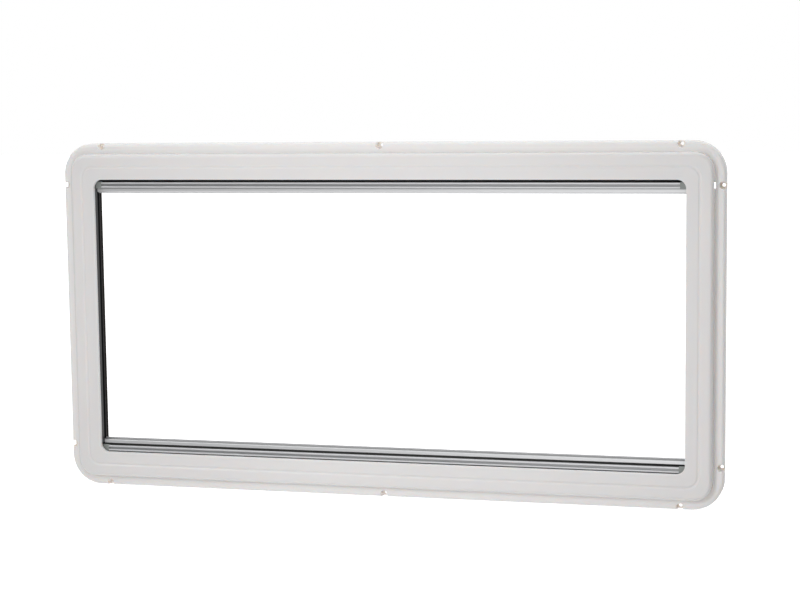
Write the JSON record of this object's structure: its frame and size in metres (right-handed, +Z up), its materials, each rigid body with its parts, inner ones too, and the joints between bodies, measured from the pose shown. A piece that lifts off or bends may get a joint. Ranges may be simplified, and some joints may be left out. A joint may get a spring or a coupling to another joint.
{
  "type": "caravan window inner frame with flyscreen and blind rollers",
  "caption": "Moulded rectangular inner frame for a caravan window, with a roller flyscreen above the opening, a roller blind below and brush-lined side guides.",
  "frame": {"origin": "centre of the opening, on the wall plane that the frame's back rim lies on", "axes": "+X along the window to the right as seen from the room, +Y into the wall, +Z up"},
  "size_m": [0.949, 0.03, 0.499],
  "materials": {
    "moulding": "light grey-white moulded plastic, satin gloss",
    "rail": "silver anodised extrusion",
    "cap": "grey moulded plastic",
    "glider": "black low-friction plastic",
    "guide": "black extruded plastic",
    "brush": "short black pile",
    "tube": "mill-finish tube",
    "screen_cloth": "dark woven mesh",
    "blind_cloth": "dark grey coated light-proof cloth",
    "plug": "natural moulded plastic",
    "bracket": "moulded plastic"
  },
  "bodies": {
    "root": {"blind_bar_glider_left": "glider", "blind_bar_glider_right": "glider", "blind_cassette_rail": "rail", "blind_cloth": "blind_cloth", "blind_pull_bar": "rail", "blind_rail_cap_left": "cap", "blind_rail_cap_right": "cap", "blind_roller_bracket_left": "bracket", "blind_roller_bracket_right": "bracket", "blind_roller_plug_left": "plug", "blind_roller_plug_right": "plug", "blind_roller_tube": "tube", "brush_strip_left": "brush", "brush_strip_right": "brush", "frame_moulding": "moulding", "guide_rail_left": "guide", "guide_rail_right": "guide", "screen_bar_glider_left": "glider", "screen_bar_glider_right": "glider", "screen_cassette_rail": "rail", "screen_cloth": "screen_cloth", "screen_pull_bar": "rail", "screen_rail_cap_left": "cap", "screen_rail_cap_right": "cap", "screen_roller_bracket_left": "bracket", "screen_roller_bracket_right": "bracket", "screen_roller_plug_left": "plug", "screen_roller_plug_right": "plug", "screen_roller_tube": "tube"}
  },
  "joints": []
}
